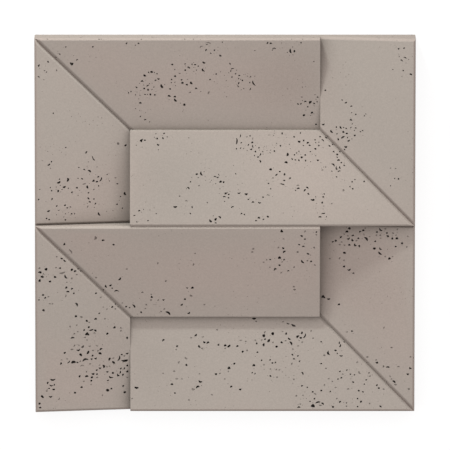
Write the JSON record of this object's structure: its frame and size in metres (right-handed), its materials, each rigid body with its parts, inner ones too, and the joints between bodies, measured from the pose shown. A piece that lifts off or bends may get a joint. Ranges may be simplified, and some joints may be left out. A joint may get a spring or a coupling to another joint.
{
  "type": "relief wall panel",
  "caption": "Square cast concrete wall panel with a flat back and a relief of tilted trapezoid facets on two levels, for cladding an interior wall.",
  "frame": {"origin": "centre of the flat back, on the surface that the panel lies on", "axes": "+Z out of the back through the relief, +X along the rows of facets, +Y across the rows towards the edge that is uppermost on the wall"},
  "size_m": [0.6, 0.6, 0.0435],
  "materials": {
    "concrete": "smooth cast face with open air pores, matt, unsealed"
  },
  "bodies": {
    "root": {"relief_panel": "concrete"}
  },
  "joints": []
}
